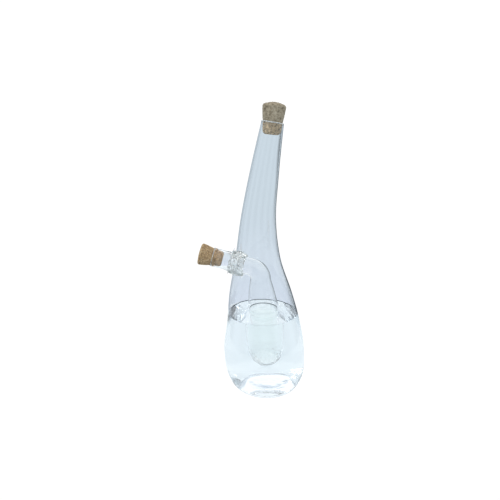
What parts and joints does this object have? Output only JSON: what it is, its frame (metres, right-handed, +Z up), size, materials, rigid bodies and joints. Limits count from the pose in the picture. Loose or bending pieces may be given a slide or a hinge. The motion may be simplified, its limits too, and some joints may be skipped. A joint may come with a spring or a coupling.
{
  "type": "two-chamber oil and vinegar cruet",
  "caption": "Hand-blown clear glass cruet, a bottle inside a bottle: a leaning teardrop body with a corked mouth, and an inner bulb that pours from a corked side spout.",
  "frame": {"origin": "centre of the flat foot, on the surface that the cruet stands on", "axes": "+Z up; the neck leans towards +X and the side spout points towards -X; the XZ plane is the plane of symmetry"},
  "size_m": [0.1106, 0.084, 0.2913],
  "materials": {
    "outer_glass": "clear blown glass with a faint blue-grey tint",
    "inner_glass": "clear blown glass",
    "weld_glass": "gathered clear glass with a faint green tint",
    "natural_cork": "cut natural cork",
    "granulated_cork": "ground granulated cork",
    "outer_liquid": "clear liquid",
    "inner_liquid": "clear liquid"
  },
  "bodies": {
    "glass_body": {"outer_bottle": "outer_glass", "inner_bottle": "inner_glass", "side_spout": "inner_glass", "spout_weld": "weld_glass", "outer_liquid": "outer_liquid", "inner_liquid": "inner_liquid"},
    "top_cork": {"top_cork": "natural_cork"},
    "side_cork": {"side_cork": "granulated_cork"}
  },
  "joints": [
    {"name": "top_cork_pull", "type": "slide", "parent": "glass_body", "child": "top_cork", "axis": [0.0958, 0, 0.9954], "range_m": [0, 0.035]},
    {"name": "side_cork_pull", "type": "slide", "parent": "glass_body", "child": "side_cork", "axis": [-0.9659, 0, 0.2588], "range_m": [0, 0.03]}
  ]
}
